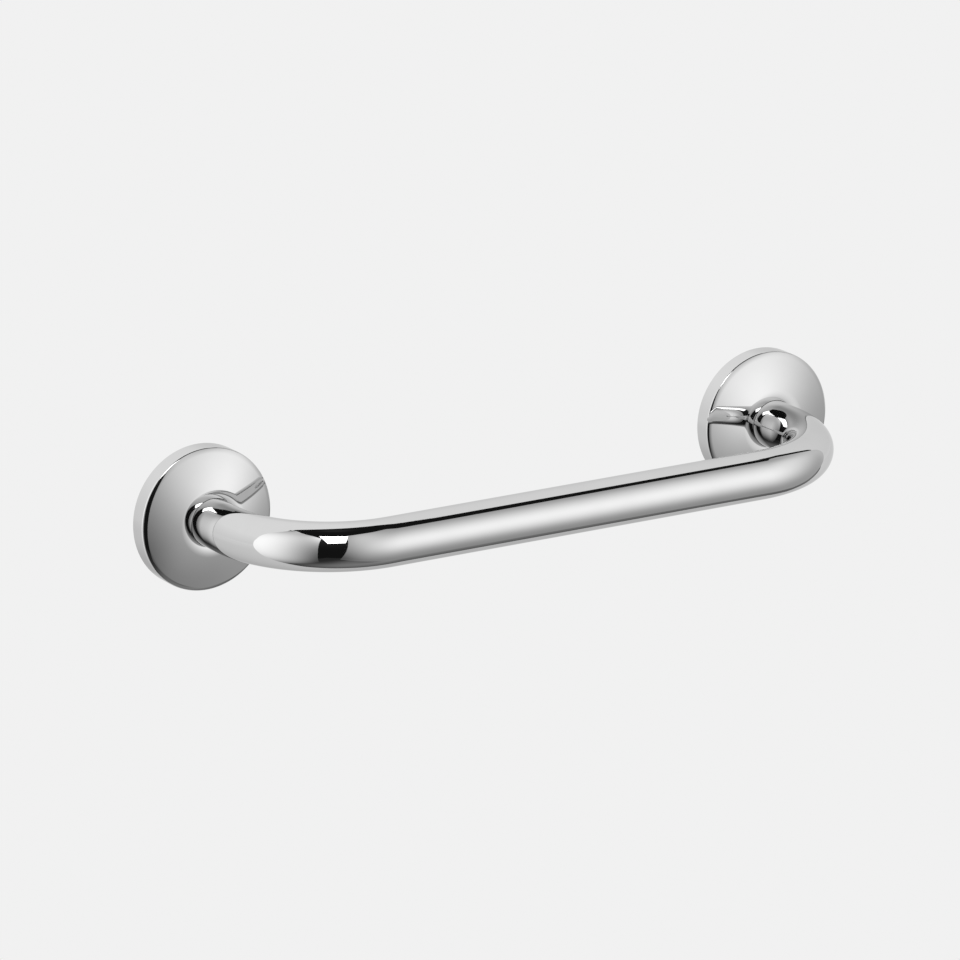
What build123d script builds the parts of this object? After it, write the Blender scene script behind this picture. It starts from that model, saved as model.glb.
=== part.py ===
from build123d import *
import os
from math import asin, degrees, radians, sin

# Wall-mounted grab bar: a bent tube welded into two wall flanges, each hidden by a domed cover.
# The frame has its origin on the wall, midway between the fixings: +X runs along the bar,
# -Y points out of the wall and +Z is up.

# Tube, in millimetres
tube_diameter = 25.0
tube_wall = 1.5
fixing_centres = 334.0
leg_length = 31.5
bend_radius = 58.0
tube_setback = 0.5

# Covers, in millimetres and degrees
cover_diameter = 74.0
cover_wall = 1.0
rim_height = 8.2
corner_inner_radius = 0.3
edge_slope = 33.5
edge_radius = 8.5
face_slope = 21.9
face_radius = 134.0
crown_width = 5.6
crown_radius = 12.5

# Flanges, in millimetres
flange_thickness = 4.0
flange_lead_in = 1.0
weld_leg = 2.6
screw_hole_diameter = 6.5
screws_per_flange = 3

# Clearances, on the radius
socket_clearance = 0.05
cover_bore_clearance = 0.15
cover_flange_clearance = 0.15

# Places worked out from the sizes above
fixing_x = fixing_centres / 2
projection = leg_length + bend_radius
tube_radius = tube_diameter / 2
socket_radius = tube_radius + socket_clearance
weld_radius = socket_radius + weld_leg
rim_radius = cover_diameter / 2
cover_bore_radius = tube_radius + cover_bore_clearance
flange_radius = rim_radius - cover_wall - cover_flange_clearance
screw_circle_radius = (weld_radius + flange_radius) / 2
corner_radius = cover_wall + corner_inner_radius
corner_end_radius = rim_radius - corner_radius * (1 - sin(radians(edge_slope)))
edge_end_radius = corner_end_radius - edge_radius * (sin(radians(edge_slope)) - sin(radians(face_slope)))
crown_start_radius = tube_radius + crown_width
crown_slope_sine = sin(radians(face_slope)) - (edge_end_radius - crown_start_radius) / face_radius
crown_slope = degrees(asin(crown_slope_sine))
bore_slope_sine = crown_slope_sine - (crown_start_radius - cover_bore_radius) / crown_radius
bore_slope = degrees(asin(bore_slope_sine))


def leg_section(x):
    """Plane through the leg at x: local x is the radius from the leg, local y the depth off the wall."""
    return Plane(origin=(x, 0, 0), x_dir=(1, 0, 0), z_dir=(0, 0, -1))


def leg_axis(x):
    """Axis of the leg at x, pointing out of the wall."""
    return Axis((x, 0, 0), (0, -1, 0))


def set_in(curve):
    """Point that lies one cover wall inside the end of a curve of the cover's outside."""
    return curve @ 1 + (curve % 1).rotate(Axis.Z, 90) * cover_wall


os.makedirs("parts", exist_ok=True)

# Bar: a round tube bent into a U, its legs ending just short of the wall
with BuildPart() as bar:
    with BuildLine(Plane.XY) as bar_path:
        FilletPolyline(
            (-fixing_x, -tube_setback),
            (-fixing_x, -projection),
            (fixing_x, -projection),
            (fixing_x, -tube_setback),
            radius=bend_radius,
        )
    with BuildSketch(Plane(origin=bar_path.line @ 0, z_dir=bar_path.line % 0)):
        Circle(tube_radius)
        Circle(tube_radius - tube_wall, mode=Mode.SUBTRACT)
    sweep(path=bar_path.line)
bar.part.label = "bar"
export_step(bar.part, "parts/bar.step")

for name, side in (("left", -1), ("right", 1)):
    x = side * fixing_x

    # Flange: a round plate with a socket for the leg, the weld around it and the screw holes.
    # The first hole faces away from the bar, so that the bar blocks no screwdriver.
    with BuildPart() as flange:
        with BuildSketch(leg_section(x)):
            with BuildLine():
                Polyline(
                    (socket_radius, 0),
                    (flange_radius, 0),
                    (flange_radius, flange_thickness - flange_lead_in),
                    (flange_radius - flange_lead_in, flange_thickness),
                    (weld_radius, flange_thickness),
                    (socket_radius, flange_thickness + weld_leg),
                    close=True,
                )
            make_face()
        revolve(axis=leg_axis(x))
        with Locations(Plane(origin=(x, -flange_thickness, 0), x_dir=(side, 0, 0), z_dir=(0, -1, 0))):
            with PolarLocations(screw_circle_radius, screws_per_flange):
                Hole(screw_hole_diameter / 2)
    flange.part.label = name + "_flange"
    export_step(flange.part, "parts/" + name + "_flange.step")

    # Cover: a thin domed shell, open at the wall, with a bore for the leg. Outside, the rim, its corner,
    # the edge of the face, the face and the crown round the tube are tangent to each other. The inside
    # runs straight from one of their ends to the next, so the wall is never thinner than its size.
    with BuildPart() as cover:
        with BuildSketch(leg_section(x)):
            with BuildLine():
                rim = Line((rim_radius, 0), (rim_radius, rim_height))
                corner = JernArc(rim @ 1, rim % 1, corner_radius, 90 - edge_slope)
                edge = JernArc(corner @ 1, corner % 1, edge_radius, edge_slope - face_slope)
                face = JernArc(edge @ 1, edge % 1, face_radius, face_slope - crown_slope)
                crown = JernArc(face @ 1, face % 1, crown_radius, crown_slope - bore_slope)
                inner_points = [set_in(curve) for curve in (rim, corner, edge, face, crown)]
                Polyline(rim @ 0, (rim_radius - cover_wall, 0), *inner_points, crown @ 1)
            make_face()
        revolve(axis=leg_axis(x))
    cover.part.label = name + "_cover"
    export_step(cover.part, "parts/" + name + "_cover.step")
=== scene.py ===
from math import asin, cos, degrees, pi, radians, sin

import bpy
from mathutils import Matrix, Vector


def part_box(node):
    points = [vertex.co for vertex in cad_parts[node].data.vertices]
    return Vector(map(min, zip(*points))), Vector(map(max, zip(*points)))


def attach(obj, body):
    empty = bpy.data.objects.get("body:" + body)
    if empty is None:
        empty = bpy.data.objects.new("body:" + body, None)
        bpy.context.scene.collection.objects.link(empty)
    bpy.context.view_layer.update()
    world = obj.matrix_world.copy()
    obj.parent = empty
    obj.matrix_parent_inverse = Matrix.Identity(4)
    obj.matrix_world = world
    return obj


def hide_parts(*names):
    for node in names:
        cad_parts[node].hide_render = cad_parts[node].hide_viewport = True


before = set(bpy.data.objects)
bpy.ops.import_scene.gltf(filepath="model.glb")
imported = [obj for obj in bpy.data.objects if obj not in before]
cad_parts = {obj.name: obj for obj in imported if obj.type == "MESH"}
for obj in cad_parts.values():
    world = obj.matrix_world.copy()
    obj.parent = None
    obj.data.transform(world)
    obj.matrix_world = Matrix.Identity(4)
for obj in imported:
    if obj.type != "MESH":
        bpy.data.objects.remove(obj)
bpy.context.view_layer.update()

MM = 0.001

# Sizes taken from the frame
bar_low, bar_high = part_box("bar")
TUBE_RADIUS = (bar_high.z - bar_low.z) / 2
PROJECTION = -bar_low.y - TUBE_RADIUS
TUBE_SETBACK = -bar_high.y
cover_low, cover_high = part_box("right_cover")
FIXING_X = (cover_low.x + cover_high.x) / 2
RIM_RADIUS = (cover_high.z - cover_low.z) / 2

# Tube
BEND_RADIUS = 58.0 * MM
TUBE_WALL = 1.5 * MM
TUBE_DEBURR = 0.3 * MM
RING_STEPS = 128
LEG_STEPS = 10
BEND_STEPS = 72
HALF_RUN_STEPS = 24

# Covers: the outside is a chain of tangent arcs from the rim to the bore. The arc at the edge of the
# face is a little wider than in the solids, as the reflections show it. Slopes are in degrees.
COVER_WALL = 1.0 * MM
RIM_HEIGHT = 8.2 * MM
CORNER_RADIUS = 1.3 * MM
EDGE_SLOPE = 33.5
EDGE_RADIUS = 11.5 * MM
FACE_SLOPE = 21.9
FACE_RADIUS = 134.0 * MM
CROWN_WIDTH = 5.6 * MM
CROWN_RADIUS = 12.5 * MM
BORE_CLEARANCE = 0.15 * MM
FOOT_DEBURR = 0.25 * MM
TURN_STEPS = 192
CORNER_STEPS = 10
EDGE_STEPS = 14
FACE_STEPS = 26
CROWN_STEPS = 26

SMOOTH_LIMIT = radians(25)


# Meshes

def loft(name, rings, lengths, girth, first_inside):
    """Closed skin through a loop of rings that all have the same number of points.

    lengths holds the distance of each ring along the loop, and girth the distance round a ring. Both
    give the UV map, in metres. Faces from ring first_inside on take the second material.
    """
    count = len(rings[0])
    faces = []
    slots = []
    uvs = []
    for i in range(len(rings)):
        here = i * count
        there = (i + 1) % len(rings) * count
        for j in range(count):
            k = (j + 1) % count
            faces.append((here + j, here + k, there + k, there + j))
            slots.append(int(i >= first_inside))
            left = girth * j / count
            right = girth * (j + 1) / count
            uvs += [lengths[i], left, lengths[i], right]
            uvs += [lengths[i + 1], right, lengths[i + 1], left]
    mesh = bpy.data.meshes.new(name)
    mesh.from_pydata([point for ring in rings for point in ring], [], faces)
    mesh.uv_layers.new(name="UVMap").data.foreach_set("uv", uvs)
    mesh.polygons.foreach_set("material_index", slots)
    mesh.polygons.foreach_set("use_smooth", [True] * len(faces))
    mesh.set_sharp_from_angle(angle=SMOOTH_LIMIT)
    piece = bpy.data.objects.new(name, mesh)
    bpy.context.scene.collection.objects.link(piece)
    return piece


def running_lengths(points):
    """Distance of each point along a closed loop, with the whole length as the last value."""
    lengths = [0.0]
    for i in range(len(points)):
        lengths.append(lengths[-1] + (points[(i + 1) % len(points)] - points[i]).length)
    return lengths


def bar_stations():
    """Points along the middle of the bar, each with the direction towards the inside of the U."""
    corner = Vector((BEND_RADIUS - FIXING_X, BEND_RADIUS - PROJECTION, 0))
    stations = []
    for i in range(LEG_STEPS):
        y = -TUBE_SETBACK + (corner.y + TUBE_SETBACK) * i / LEG_STEPS
        stations.append((Vector((-FIXING_X, y, 0)), Vector((1, 0, 0))))
    for i in range(BEND_STEPS):
        turn = pi / 2 * i / BEND_STEPS
        inwards = Vector((cos(turn), sin(turn), 0))
        stations.append((corner - BEND_RADIUS * inwards, inwards))
    for i in range(HALF_RUN_STEPS):
        x = corner.x * (1 - i / HALF_RUN_STEPS)
        stations.append((Vector((x, -PROJECTION, 0)), Vector((0, 1, 0))))
    middle = (Vector((0, -PROJECTION, 0)), Vector((0, 1, 0)))
    mirror = Vector((-1, 1, 1))
    mirrored = [(point * mirror, inwards * mirror) for point, inwards in reversed(stations)]
    return stations + [middle] + mirrored


def bar_ring(station, radius, shift=0):
    """Ring round a station, moved off the wall by shift and starting on the inside of the U."""
    centre, inwards = station
    start = centre - Vector((0, shift, 0))
    up = Vector((0, 0, 1))
    turns = [2 * pi * j / RING_STEPS for j in range(RING_STEPS)]
    return [start + radius * (cos(turn) * inwards + sin(turn) * up) for turn in turns]


def make_bar():
    """Bent tube with its bore and deburred ends."""
    stations = bar_stations()
    bore_radius = TUBE_RADIUS - TUBE_WALL
    first, last = stations[0], stations[-1]
    outside = [bar_ring(first, TUBE_RADIUS - TUBE_DEBURR)]
    outside += [bar_ring(first, TUBE_RADIUS, TUBE_DEBURR)]
    outside += [bar_ring(station, TUBE_RADIUS) for station in stations[1:-1]]
    outside += [bar_ring(last, TUBE_RADIUS, TUBE_DEBURR)]
    outside += [bar_ring(last, TUBE_RADIUS - TUBE_DEBURR)]
    inside = [bar_ring(last, bore_radius + TUBE_DEBURR)]
    inside += [bar_ring(last, bore_radius, TUBE_DEBURR)]
    inside += [bar_ring(station, bore_radius) for station in reversed(stations[1:-1])]
    inside += [bar_ring(first, bore_radius, TUBE_DEBURR)]
    inside += [bar_ring(first, bore_radius + TUBE_DEBURR)]
    rings = outside + inside
    lengths = running_lengths([sum(ring, Vector()) / RING_STEPS for ring in rings])
    return loft("grab_tube", rings, lengths, 2 * pi * TUBE_RADIUS, len(outside) - 1)


def add_arc(points, heading, radius, turn, steps):
    """Adds an arc to a profile, turning left by some degrees, and returns the new heading in degrees."""
    side = radians(heading + 90)
    centre = points[-1] + radius * Vector((cos(side), sin(side)))
    for i in range(1, steps + 1):
        angle = radians(heading - 90 + turn * i / steps)
        points.append(centre + radius * Vector((cos(angle), sin(angle))))
    return heading + turn


def cover_skin(inset):
    """One skin of a cover, as points of (radius, depth off the wall) from the wall to the bore."""
    edge_sine = sin(radians(EDGE_SLOPE))
    face_sine = sin(radians(FACE_SLOPE))
    bore_radius = TUBE_RADIUS + BORE_CLEARANCE
    crown_start = TUBE_RADIUS + CROWN_WIDTH
    corner_end = RIM_RADIUS - CORNER_RADIUS * (1 - edge_sine)
    edge_end = corner_end - EDGE_RADIUS * (edge_sine - face_sine)
    crown_sine = face_sine - (edge_end - crown_start) / FACE_RADIUS
    crown_slope = degrees(asin(crown_sine))
    bore_rise = crown_sine * CROWN_RADIUS - (crown_start - bore_radius)
    bore_slope = degrees(asin(bore_rise / (CROWN_RADIUS - inset)))
    points = [Vector((RIM_RADIUS - inset, RIM_HEIGHT))]
    off_wall = 90
    heading = add_arc(points, off_wall, CORNER_RADIUS - inset, off_wall - EDGE_SLOPE, CORNER_STEPS)
    heading = add_arc(points, heading, EDGE_RADIUS - inset, EDGE_SLOPE - FACE_SLOPE, EDGE_STEPS)
    heading = add_arc(points, heading, FACE_RADIUS - inset, FACE_SLOPE - crown_slope, FACE_STEPS)
    add_arc(points, heading, CROWN_RADIUS - inset, crown_slope - bore_slope, CROWN_STEPS)
    return points


def make_cover(name, x):
    """Thin domed cover, open at the wall, with its foot slightly eased."""
    foot = [
        Vector((RIM_RADIUS - COVER_WALL, FOOT_DEBURR)),
        Vector((RIM_RADIUS - COVER_WALL + FOOT_DEBURR, 0)),
        Vector((RIM_RADIUS - FOOT_DEBURR, 0)),
        Vector((RIM_RADIUS, FOOT_DEBURR)),
    ]
    outside = foot + cover_skin(0)
    profile = outside + cover_skin(COVER_WALL)[::-1]
    rings = []
    for radius, depth in profile:
        ring = []
        for j in range(TURN_STEPS):
            turn = -pi / 2 + 2 * pi * j / TURN_STEPS
            ring.append(Vector((x + radius * cos(turn), -depth, radius * sin(turn))))
        rings.append(ring)
    return loft(name, rings, running_lengths(profile), 2 * pi * RIM_RADIUS, len(outside))


# Materials: noise scales are in cells a metre, bump heights in metres, and pairs run from low to high

NOISE_DETAIL = 3
NOISE_RANGE = (0.3, 0.7)

# Bright plating, with polishing marks along and across the surface, a faint haze and a fainter waviness
CHROME_GREY = 0.69
CHROME_GREY_SPAN = 0.01
CHROME_EDGE = (0.825, 0.825, 0.825, 1)
CHROME_ROUGHNESS = (0.02, 0.035)
HAZE_SCALE = 60
PEEL_SCALE = 220
PEEL_DETAIL = 1
PEEL_HEIGHT = 4e-7
MARK_HEIGHT = 1.5e-7
TUBE_MARKS = (15, 900)
COVER_MARKS = (1500, 6)

# Plating that was never buffed
INSIDE_GREY = (0.42, 0.52)
INSIDE_ROUGHNESS = (0.32, 0.45)
INSIDE_MOTTLE_SCALE = 120
INSIDE_GRAIN_SCALE = 2500
INSIDE_GRAIN_DETAIL = 2
INSIDE_GRAIN_HEIGHT = 8e-6

# Turned steel of the flanges
STEEL_GREY = (0.44, 0.54)
STEEL_ROUGHNESS = (0.26, 0.42)
STEEL_MOTTLE_SCALE = 90
STEEL_RING_SCALE = 2500
STEEL_RING_DETAIL = 2
STEEL_RING_HEIGHT = 5e-6


def add_node(owner, kind, inputs, **settings):
    """Adds a node to a material or a world: an input given as a socket is linked, any other is set."""
    tree = owner.node_tree
    node = tree.nodes.new("ShaderNode" + kind)
    for name, value in settings.items():
        setattr(node, name, value)
    for name, value in inputs.items():
        if isinstance(value, bpy.types.NodeSocket):
            tree.links.new(value, node.inputs[name])
        else:
            node.inputs[name].default_value = value
    return node


def calculate(material, operation, *values):
    """Result of a calculation with numbers."""
    return add_node(material, "Math", dict(enumerate(values)), operation=operation).outputs[0]


def calculate_vector(material, operation, *values, result="Vector"):
    """Result of a calculation with vectors, which is a number where result is Value."""
    node = add_node(material, "VectorMath", dict(enumerate(values)), operation=operation)
    return node.outputs[result]


def map_range(owner, value, before, after):
    """Value brought from the range before to the range after, and kept within it."""
    low, high = before
    new_low, new_high = after
    limits = {"From Min": low, "From Max": high, "To Min": new_low, "To Max": new_high}
    return add_node(owner, "MapRange", {"Value": value, **limits}).outputs["Result"]


def noise(material, place, scale, detail=NOISE_DETAIL):
    """Noise with so many cells a metre where place is in metres."""
    texture = add_node(material, "TexNoise", {"Vector": place, "Scale": scale, "Detail": detail})
    return texture.outputs["Fac"]


def bump(material, value, height, **inputs):
    """Normal of a surface that is raised by a value times a height."""
    node = add_node(material, "Bump", {"Height": value, "Distance": height, **inputs})
    return node.outputs["Normal"]


def new_material(name):
    material = bpy.data.materials.new(name)
    material.use_nodes = True
    material.node_tree.nodes.clear()
    return material


def surface(material, shader):
    """Makes a shader node the surface of its material."""
    add_node(material, "OutputMaterial", {"Surface": shader.outputs[0]})
    return material


def chrome(name, marks_a_metre):
    """Bright plating, with so many polishing marks a metre along and across the surface."""
    material = new_material(name)
    uv = add_node(material, "UVMap", {}, uv_map="UVMap").outputs["UV"]
    place = add_node(material, "TexCoord", {}).outputs["Object"]
    marks = noise(material, calculate_vector(material, "MULTIPLY", uv, (*marks_a_metre, 1)), 1)
    haze = noise(material, place, HAZE_SCALE)
    peel = noise(material, place, PEEL_SCALE, PEEL_DETAIL)
    greys = (CHROME_GREY - CHROME_GREY_SPAN, CHROME_GREY + CHROME_GREY_SPAN)
    waves = bump(material, peel, PEEL_HEIGHT)
    shader = add_node(material, "BsdfPrincipled", {
        "Base Color": map_range(material, haze, NOISE_RANGE, greys),
        "Metallic": 1,
        "Specular Tint": CHROME_EDGE,
        "Roughness": map_range(material, haze, NOISE_RANGE, CHROME_ROUGHNESS),
        "Normal": bump(material, marks, MARK_HEIGHT, Normal=waves),
    })
    return surface(material, shader)


def unpolished(name):
    """Plating that was never buffed, for the inside of the tube and of the covers."""
    material = new_material(name)
    place = add_node(material, "TexCoord", {}).outputs["Object"]
    mottle = noise(material, place, INSIDE_MOTTLE_SCALE)
    grain = noise(material, place, INSIDE_GRAIN_SCALE, INSIDE_GRAIN_DETAIL)
    shader = add_node(material, "BsdfPrincipled", {
        "Base Color": map_range(material, mottle, NOISE_RANGE, INSIDE_GREY),
        "Metallic": 1,
        "Roughness": map_range(material, mottle, NOISE_RANGE, INSIDE_ROUGHNESS),
        "Normal": bump(material, grain, INSIDE_GRAIN_HEIGHT),
    })
    return surface(material, shader)


def turned_steel(name):
    """Lathe-turned steel, with fine rings round the leg that the plate sits on."""
    material = new_material(name)
    place = add_node(material, "TexCoord", {}).outputs["Object"]
    parts = add_node(material, "SeparateXYZ", {0: place}).outputs
    across = calculate(material, "SUBTRACT", calculate(material, "ABSOLUTE", parts["X"]), FIXING_X)
    flat = add_node(material, "CombineXYZ", {"X": across, "Z": parts["Z"]}).outputs[0]
    radius = calculate_vector(material, "LENGTH", flat, result="Value")
    inputs = {"W": radius, "Scale": STEEL_RING_SCALE, "Detail": STEEL_RING_DETAIL}
    rings = add_node(material, "TexNoise", inputs, noise_dimensions="1D").outputs["Fac"]
    mottle = noise(material, place, STEEL_MOTTLE_SCALE)
    shader = add_node(material, "BsdfPrincipled", {
        "Base Color": map_range(material, mottle, NOISE_RANGE, STEEL_GREY),
        "Metallic": 1,
        "Roughness": map_range(material, rings, NOISE_RANGE, STEEL_ROUGHNESS),
        "Normal": bump(material, rings, STEEL_RING_HEIGHT),
    })
    return surface(material, shader)


# The object

inside_metal = unpolished("inside_metal")
bar = make_bar()
bar.data.materials.append(chrome("tube_chrome", TUBE_MARKS))
bar.data.materials.append(inside_metal)
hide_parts("bar")
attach(bar, "root")

cover_chrome = chrome("cover_chrome", COVER_MARKS)
flange_steel = turned_steel("flange_steel")
for side, x in (("left", -FIXING_X), ("right", FIXING_X)):
    cover = make_cover(side + "_rosette", x)
    cover.data.materials.append(cover_chrome)
    cover.data.materials.append(inside_metal)
    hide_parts(side + "_cover")
    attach(cover, "root")
    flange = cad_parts[side + "_flange"]
    flange.data.materials.clear()
    flange.data.materials.append(flange_steel)


# Studio: all sizes are in metres

def emission(name, strength):
    """Plain light of one strength all over."""
    material = new_material(name)
    return surface(material, add_node(material, "Emission", {"Strength": strength}))


def glow(name, base, lamps):
    """Light of a card: a base level and some lamps, each given by its peak, its centre and its spreads.

    A lamp fades with the distance from its centre, and one with a peak below zero is a shade. A level is
    what the chrome is to show of the card, so it is divided by the share that the chrome returns.
    """
    material = new_material(name)
    place = add_node(material, "TexCoord", {}).outputs["Object"]
    level = base / CHROME_GREY
    for peak, centre, spreads in lamps:
        offset = calculate_vector(material, "SUBTRACT", place, (*centre, 0))
        scaled = calculate_vector(material, "DIVIDE", offset, (*spreads, 1))
        square = calculate_vector(material, "DOT_PRODUCT", scaled, scaled, result="Value")
        fade = calculate(material, "EXPONENT", calculate(material, "MULTIPLY", square, -1))
        level = calculate(material, "MULTIPLY_ADD", fade, peak / CHROME_GREY, level)
    return surface(material, add_node(material, "Emission", {"Strength": level}))


def stage_sheet(name, corners, matrix, material):
    """Flat sheet of the studio, through corners on its own plane."""
    mesh = bpy.data.meshes.new(name)
    mesh.from_pydata([(*corner, 0) for corner in corners], [], [range(len(corners))])
    mesh.materials.append(material)
    sheet = bpy.data.objects.new(name, mesh)
    bpy.context.scene.collection.objects.link(sheet)
    sheet.matrix_world = matrix
    return sheet


def card(name, corners, matrix, material):
    """Sheet that lights the object and shows in it, but not to the camera."""
    stage_sheet(name, corners, matrix, material).visible_camera = False


def upright(start, end):
    """Place of an upright card, whose local x runs from start towards end and local y is the height."""
    x_axis = Vector((end[0] - start[0], end[1] - start[1], 0)).normalized()
    y_axis = Vector((0, 0, 1))
    matrix = Matrix((x_axis, y_axis, x_axis.cross(y_axis))).transposed().to_4x4()
    matrix.translation = (start[0], start[1], 0)
    return matrix


def level_at(height):
    """Place of a level sheet."""
    return Matrix.Translation((0, 0, height))


def rectangle(x0, y0, x1, y1):
    return [(x0, y0), (x1, y0), (x1, y1), (x0, y1)]


STUDIO_REACH = 8.0
FLOOR_REACH = 30.0
CEILING_HEIGHT = 2.6
LOWER_HEIGHT = -1.52
BLACK = 0.006

# Softbox in front of the bar, with top and right edges that are cut to follow the dark lines on the bar
FRONT_START = (-0.531, -1.450)
FRONT_END = (1.217, -0.032)
FRONT_LEFT = [(0.12, CEILING_HEIGHT), (0.12, 1.2), (-0.10, -0.45), (-0.24, -1.5)]
FRONT_BOTTOM = [(1.2, -1.5), (1.55, -1.3), (2.38, -1.25)]
FRONT_RIGHT = [
    (2.42, -0.95), (2.36, -0.68), (2.34, -0.50), (2.44, -0.20), (2.50, 0.10), (2.50, 0.50), (2.40, 0.75),
]
FRONT_TOP = [
    (2.36, 1.58), (2.14, 1.55), (1.90, 1.29), (1.575, 1.30), (1.56, 1.84), (1.16, 1.85), (0.70, 2.16),
]
FRONT_BASE = 0.307
FRONT_LAMPS = [
    (0.491, (1.20, 0.06), (0.475, 0.47)),
    (0.248, (0.64, 0.68), (0.515, 1.50)),
    (0.286, (1.71, 0.50), (0.480, 0.415)),
    (-0.223, (-0.40, -1.115), (1.38, 1.20)),
    (0.10, (2.35, 0.70), (0.35, 0.80)),
    (0.10, (2.50, 0.10), (0.25, 0.50)),
    (-0.045, (1.10, -1.30), (1.20, 0.42)),
]
corners = FRONT_LEFT + FRONT_BOTTOM + FRONT_RIGHT + FRONT_TOP
light = glow("front_light", FRONT_BASE, FRONT_LAMPS)
card("front_softbox", corners, upright(FRONT_START, FRONT_END), light)

# Softbox beside the left bend, wider at the top
SIDE_START = (-0.680, -0.752)
SIDE_END = (-0.731, 0.0)
SIDE_BACK = [(0.785, -1.35), (0.73, -0.30), (0.735, 0.25), (0.87, 1.36), (0.98, 1.91)]
SIDE_TOP = [(1.35, 3.05), (0.73, 2.05), (0.45, 1.60), (0.02, 1.18)]
SIDE_FRONT = [(0.03, -0.10), (0.09, -1.35)]
SIDE_BASE = 0.021
SIDE_LAMPS = [
    (0.937, (0.696, 0.149), (0.427, 1.034)),
    (0.911, (-0.066, 1.347), (0.393, 0.914)),
    (0.406, (0.760, 1.985), (0.349, 0.912)),
]
light = glow("side_light", SIDE_BASE, SIDE_LAMPS)
card("side_softbox", SIDE_BACK + SIDE_TOP + SIDE_FRONT, upright(SIDE_START, SIDE_END), light)

# Bright strip overhead, on the camera's side
TOP_HEIGHT = 1.2
TOP_CORNERS = [(-0.545, -0.482), (-0.207, -0.712), (-0.675, -1.88), (-1.17, -1.70)]
TOP_LEVEL = 2.4
light = emission("top_light", TOP_LEVEL / CHROME_GREY)
card("top_softbox", TOP_CORNERS, level_at(TOP_HEIGHT), light)

# Black flag overhead, whose back edge is cut where the bar would show it
CEILING_EDGE = [
    (-1.6, -STUDIO_REACH), (-1.4, -0.9), (-0.78, 0.15), (-0.65, 0.47), (-0.45, 0.53), (0.6, 0.61),
    (1.06, 0.70), (1.25, 0.62), (1.385, 0.48), (1.40, 0.15), (1.72, 0.15), (1.755, 0.33),
    (2.1, 0.62), (3.4, 0.68), (4.4, 0.76), (5.2, 0.76), (5.2, -STUDIO_REACH),
]
CEILING_LAMPS = [(0.012, (0.05, 0.05), (0.3, 0.3))]
light = glow("ceiling_black", BLACK, CEILING_LAMPS)
card("ceiling_flag", CEILING_EDGE, level_at(CEILING_HEIGHT), light)

# Dark card below, and a paler one from its back edge to the horizon, with painted shade that darkens the
# paler one near the object and behind it
LOWER_EDGE = [
    (-STUDIO_REACH, -1.0), (-1.6, -0.3), (-1.15, 0.03), (-0.6, 0.05), (-0.37, 0.085),
    (1.0, 0.09), (1.4, 0.50), (1.9, 0.58), (2.3, 0.51), (STUDIO_REACH, 0.50),
]
LOWER_BASE = 0.018
LOWER_LAMPS = [
    (0.092, (0.34, -0.297), (1.155, 0.339)),
    (0.098, (-0.142, -0.919), (0.423, 0.645)),
    (0.14, (2.6, 0.25), (1.7, 0.7)),
    (0.17, (0.75, -0.62), (0.60, 0.22)),
]
REAR_BASE = 0.585
# Painted shade on the pale card: each shade is a lamp with a peak below zero, darkest near the object
# and behind it
REAR_SHADES = [
    (-0.115, (0.6, 0.5), (1.6, 2.0)),
    (-0.065, (-2.0, 3.0), (3.0, 4.5)),
    (-0.075, (-0.1, 2.1), (0.95, 0.9)),
]
corners = [*LOWER_EDGE, (STUDIO_REACH, -STUDIO_REACH), (-STUDIO_REACH, -STUDIO_REACH)]
light = glow("lower_light", LOWER_BASE, LOWER_LAMPS)
card("lower_flag", corners, level_at(LOWER_HEIGHT), light)
corners = [*LOWER_EDGE, (FLOOR_REACH, FLOOR_REACH), (-FLOOR_REACH, FLOOR_REACH)]
light = glow("rear_light_and_shade", REAR_BASE, REAR_SHADES)
card("rear_floor", corners, level_at(LOWER_HEIGHT), light)

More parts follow.
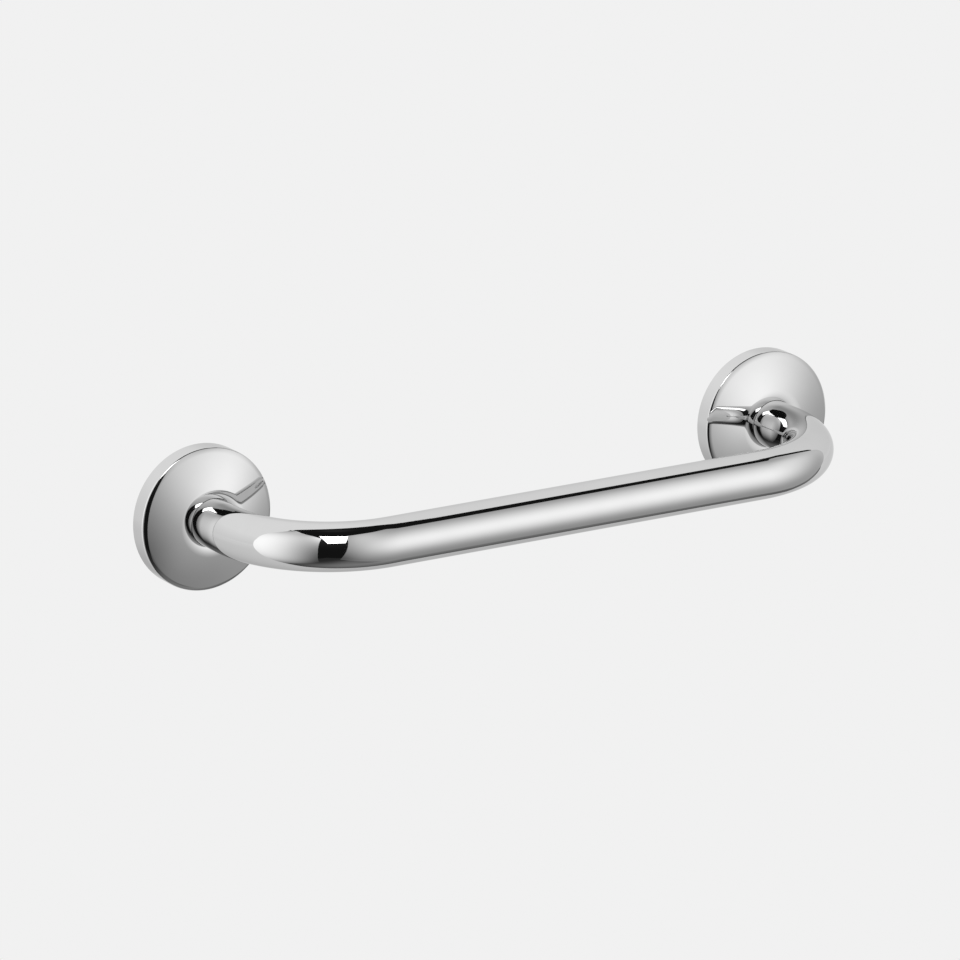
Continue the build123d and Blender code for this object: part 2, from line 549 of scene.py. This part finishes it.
# Black screens behind the gap between the softboxes
SCREEN_CORNERS = [(-1.4, -0.02), (-1.4, -2.0), (0.0, -2.0)]
SCREEN_LAMPS = [(0.012, (0.7, 1.8), (2.0, 0.9))]
light = glow("screen_black", BLACK, SCREEN_LAMPS)
for start, end in zip(SCREEN_CORNERS, SCREEN_CORNERS[1:]):
    width = (Vector(end) - Vector(start)).length
    corners = rectangle(0, LOWER_HEIGHT, width, CEILING_HEIGHT)
    card("screen_flag", corners, upright(start, end), light)

# Pale floor, which fills the picture behind the object
FLOOR_HEIGHT = -1.7
FLOOR_LEVEL = 0.879
corners = rectangle(-FLOOR_REACH, -FLOOR_REACH, FLOOR_REACH, FLOOR_REACH)
stage_sheet("floor", corners, level_at(FLOOR_HEIGHT), emission("pale_floor", FLOOR_LEVEL))

# Pale surroundings, brighter overhead than at the horizon, but hardly so on the right
HORIZON = 0.848
SKY = 0.975
SKY_HEIGHT = 0.5
RIGHT_SKY = 0.86
RIGHT_START = 0.35
RIGHT_END = 0.6
WHITE = (1, 1, 1, 1)
world = bpy.data.worlds.new("studio")
world.use_nodes = True
direction = add_node(world, "TexCoord", {}).outputs["Generated"]
parts = add_node(world, "SeparateXYZ", {0: direction}).outputs
sky = map_range(world, parts["X"], (RIGHT_START, RIGHT_END), (SKY, RIGHT_SKY))
strength = map_range(world, parts["Z"], (0, SKY_HEIGHT), (HORIZON, sky))
background = world.node_tree.nodes["Background"]
background.inputs["Color"].default_value = WHITE
world.node_tree.links.new(strength, background.inputs["Strength"])
bpy.context.scene.world = world


# Camera

CAMERA_AZIMUTH = -31.556
CAMERA_ELEVATION = 16.718
CAMERA_DISTANCE = 4.259
CAMERA_AIM = Vector((-0.00235, -0.0012, -0.00751))
LENS = 313.8
SENSOR = 36
CLIP_END = 100

azimuth, elevation = radians(CAMERA_AZIMUTH), radians(CAMERA_ELEVATION)
level_part = cos(elevation)
backwards = Vector((sin(azimuth) * level_part, -cos(azimuth) * level_part, sin(elevation)))
camera_data = bpy.data.cameras.new("camera")
camera_data.lens = LENS
camera_data.sensor_width = SENSOR
camera_data.clip_end = CLIP_END
camera = bpy.data.objects.new("camera", camera_data)
camera.location = CAMERA_AIM + CAMERA_DISTANCE * backwards
camera.rotation_euler = backwards.to_track_quat("Z", "Y").to_euler()
bpy.context.scene.collection.objects.link(camera)
bpy.context.scene.camera = camera
bpy.context.scene.view_settings.view_transform = "Standard"
